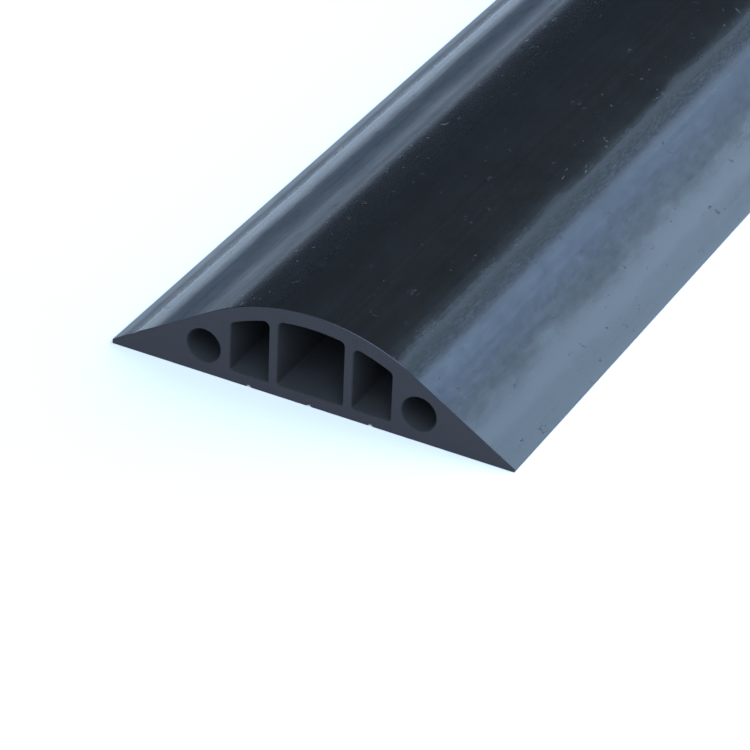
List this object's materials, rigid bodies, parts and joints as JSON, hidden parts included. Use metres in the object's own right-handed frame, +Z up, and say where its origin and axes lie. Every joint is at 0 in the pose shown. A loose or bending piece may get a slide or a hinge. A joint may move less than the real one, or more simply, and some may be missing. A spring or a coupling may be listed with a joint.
{
  "type": "floor cord cover",
  "caption": "Low-profile extruded rubber strip that lies over cords on a floor, with enclosed channels along it for them and ramped sides to step or roll over.",
  "frame": {"origin": "middle of the base, half way along the strip", "axes": "+Y along the strip, +X across it, +Z up out of the floor"},
  "size_m": [0.0952, 0.9144, 0.0222],
  "materials": {
    "rubber": "extruded slate-black rubber with a dull sheen, saw-cut matte on its ends"
  },
  "bodies": {
    "root": {"cover_strip": "rubber"}
  },
  "joints": []
}
